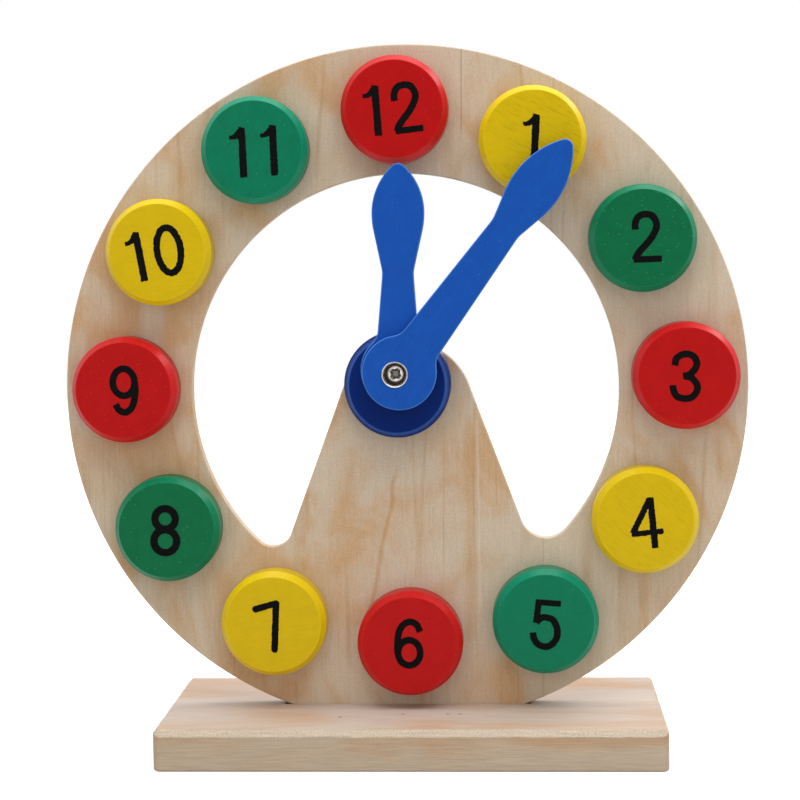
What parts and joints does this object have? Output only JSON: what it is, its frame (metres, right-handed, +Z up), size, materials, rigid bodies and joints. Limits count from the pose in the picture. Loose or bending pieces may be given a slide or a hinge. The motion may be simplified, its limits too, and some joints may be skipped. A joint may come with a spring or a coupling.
{
  "type": "teaching clock",
  "caption": "Standing wooden teaching clock: a ring with a tapering pillar in a board, coloured number discs, and two leaf-shaped hands that each turn freely by hand.",
  "frame": {"origin": "on the table, midway across the ring's width and midway through the panel's thickness", "axes": "+Z up, -Y out of the dial towards the viewer, +X to the right as the dial is read"},
  "size_m": [0.22, 0.078, 0.226],
  "materials": {
    "board_wood": "planed and sanded, bare",
    "panel_wood": "sanded, bare, grain upright",
    "red_paint": "satin paint on turned wood",
    "yellow_paint": "satin paint on turned wood",
    "green_paint": "satin paint on turned wood",
    "navy_paint": "satin paint on turned wood",
    "blue_paint": "satin paint on cut wood, edges eased",
    "plated_steel": "bright nickel plate",
    "washer_nylon": "plain moulded nylon"
  },
  "bodies": {
    "stand": {"base_board": "board_wood", "face_panel": "panel_wood", "hub_disc": "navy_paint", "number_disc_01": "yellow_paint", "number_disc_02": "green_paint", "number_disc_03": "red_paint", "number_disc_04": "yellow_paint", "number_disc_05": "green_paint", "number_disc_06": "red_paint", "number_disc_07": "yellow_paint", "number_disc_08": "green_paint", "number_disc_09": "red_paint", "number_disc_10": "yellow_paint", "number_disc_11": "green_paint", "number_disc_12": "red_paint", "pivot_cup": "plated_steel", "pivot_screw": "plated_steel", "hand_washer": "washer_nylon"},
    "hour": {"hour_hand": "blue_paint"},
    "minute": {"minute_hand": "blue_paint"}
  },
  "joints": [
    {"name": "hour_turn", "type": "hinge", "parent": "stand", "child": "hour", "pos_m": [-0.0022, -0.01405, 0.1217], "axis": [0, 1, 0], "continuous": true},
    {"name": "minute_turn", "type": "hinge", "parent": "stand", "child": "minute", "pos_m": [-0.0022, -0.01405, 0.1217], "axis": [0, 1, 0], "continuous": true}
  ]
}
